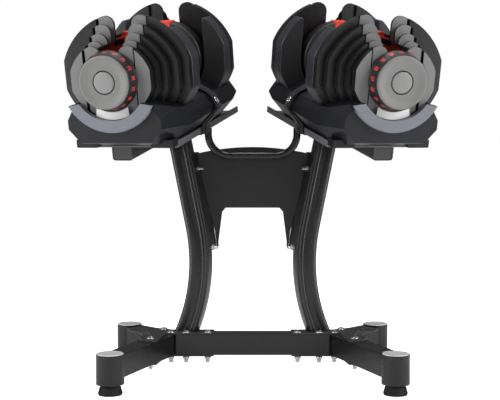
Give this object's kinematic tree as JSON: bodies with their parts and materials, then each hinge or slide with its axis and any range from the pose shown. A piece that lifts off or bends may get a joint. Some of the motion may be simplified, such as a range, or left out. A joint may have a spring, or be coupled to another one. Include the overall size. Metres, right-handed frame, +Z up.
{
  "type": "adjustable dumbbell pair on stand",
  "caption": "Pair of dial-select adjustable dumbbells in moulded trays, tilted on a bolted black steel floor stand with levelling feet.",
  "frame": {"origin": "centre of the footprint, on the floor", "axes": "+Z up, +X to the right as seen from the dials in front, +Y to the rear"},
  "size_m": [0.6892, 0.4769, 0.7231],
  "materials": {
    "frame_black": "satin black powder coat",
    "panel_black": "matt black powder coat",
    "cap_white": "bright white cap",
    "foot_rubber": "matt",
    "zinc": "bright zinc plate",
    "bracket_grey": "satin grey",
    "label_white": "blank white",
    "tray_plastic": "fine moulded texture",
    "webbing": "woven webbing",
    "grip_rubber": "ribbed",
    "core_black": "satin",
    "index_red": "satin",
    "dial_grey": "fine moulded texture",
    "ring_black": "satin",
    "selector_black": "satin",
    "plate_grey": "moulded cover over iron"
  },
  "bodies": {
    "stand": {"crossbar": "frame_black", "front_left_leg": "frame_black", "rear_left_leg": "frame_black", "front_right_leg": "frame_black", "rear_right_leg": "frame_black", "post_caps": "cap_white", "gusset_plates": "frame_black", "frame_bolts": "zinc", "frame_nuts": "zinc", "left_upright": "frame_black", "right_upright": "frame_black", "back_panel": "panel_black", "panel_bolts": "zinc", "u_bar": "frame_black", "left_tray_bracket": "bracket_grey", "right_tray_bracket": "bracket_grey", "support_arms": "frame_black", "bracket_bolts": "zinc", "tray_labels": "label_white", "strap_eyelets": "zinc", "left_tray": "tray_plastic", "left_strap": "webbing", "right_tray": "tray_plastic", "right_strap": "webbing", "right_plate_1": "plate_grey", "right_plate_2": "plate_grey", "right_plate_3": "plate_grey", "right_plate_4": "plate_grey", "right_plate_5": "plate_grey", "right_plate_6": "plate_grey"},
    "left_dumbbell": {"left_grip": "grip_rubber", "left_core": "core_black", "left_index": "index_red", "left_end_caps": "dial_grey", "left_plate_1": "plate_grey", "left_plate_2": "plate_grey", "left_plate_3": "plate_grey", "left_plate_4": "plate_grey", "left_plate_5": "plate_grey", "left_plate_6": "plate_grey"},
    "left_front_dial_set": {"left_front_dial": "dial_grey", "left_front_ring": "ring_black", "left_front_selector": "selector_black"},
    "left_rear_dial_set": {"left_rear_dial": "dial_grey", "left_rear_ring": "ring_black", "left_rear_selector": "selector_black"},
    "right_handle": {"right_grip": "grip_rubber", "right_core": "core_black", "right_index": "index_red", "right_end_caps": "dial_grey"},
    "right_front_dial_set": {"right_front_dial": "dial_grey", "right_front_ring": "ring_black", "right_front_selector": "selector_black"},
    "right_rear_dial_set": {"right_rear_dial": "dial_grey", "right_rear_ring": "ring_black", "right_rear_selector": "selector_black"},
    "front_left_foot": {"front_left_foot": "foot_rubber"},
    "rear_left_foot": {"rear_left_foot": "foot_rubber"},
    "front_right_foot": {"front_right_foot": "foot_rubber"},
    "rear_right_foot": {"rear_right_foot": "foot_rubber"}
  },
  "joints": [
    {"name": "left_lift", "type": "slide", "parent": "stand", "child": "left_dumbbell", "axis": [-0.0646, -0.1976, 0.9781], "range_m": [0, 0.25]},
    {"name": "left_front_dial_turn", "type": "hinge", "parent": "left_dumbbell", "child": "left_front_dial_set", "pos_m": [-0.25564, -0.21669, 0.5466], "axis": [0.3039, 0.9297, 0.2079], "continuous": true},
    {"name": "left_rear_dial_turn", "type": "hinge", "parent": "left_dumbbell", "child": "left_rear_dial_set", "pos_m": [-0.12496, 0.1831, 0.636], "axis": [0.3039, 0.9297, 0.2079], "continuous": true},
    {"name": "right_lift", "type": "slide", "parent": "stand", "child": "right_handle", "axis": [0.0646, -0.1976, 0.9781], "range_m": [0, 0.25]},
    {"name": "right_front_dial_turn", "type": "hinge", "parent": "right_handle", "child": "right_front_dial_set", "pos_m": [0.25564, -0.21669, 0.5466], "axis": [-0.3039, 0.9297, 0.2079], "continuous": true},
    {"name": "right_rear_dial_turn", "type": "hinge", "parent": "right_handle", "child": "right_rear_dial_set", "pos_m": [0.12496, 0.1831, 0.636], "axis": [-0.3039, 0.9297, 0.2079], "continuous": true},
    {"name": "front_left_foot_turn", "type": "hinge", "parent": "stand", "child": "front_left_foot", "pos_m": [-0.2516, -0.1965, 0.01], "axis": [0, 0, 1], "continuous": true},
    {"name": "rear_left_foot_turn", "type": "hinge", "parent": "stand", "child": "rear_left_foot", "pos_m": [-0.2516, 0.1199, 0.01], "axis": [0, 0, 1], "continuous": true},
    {"name": "front_right_foot_turn", "type": "hinge", "parent": "stand", "child": "front_right_foot", "pos_m": [0.2516, -0.1965, 0.01], "axis": [0, 0, 1], "continuous": true},
    {"name": "rear_right_foot_turn", "type": "hinge", "parent": "stand", "child": "rear_right_foot", "pos_m": [0.2516, 0.1199, 0.01], "axis": [0, 0, 1], "continuous": true}
  ]
}
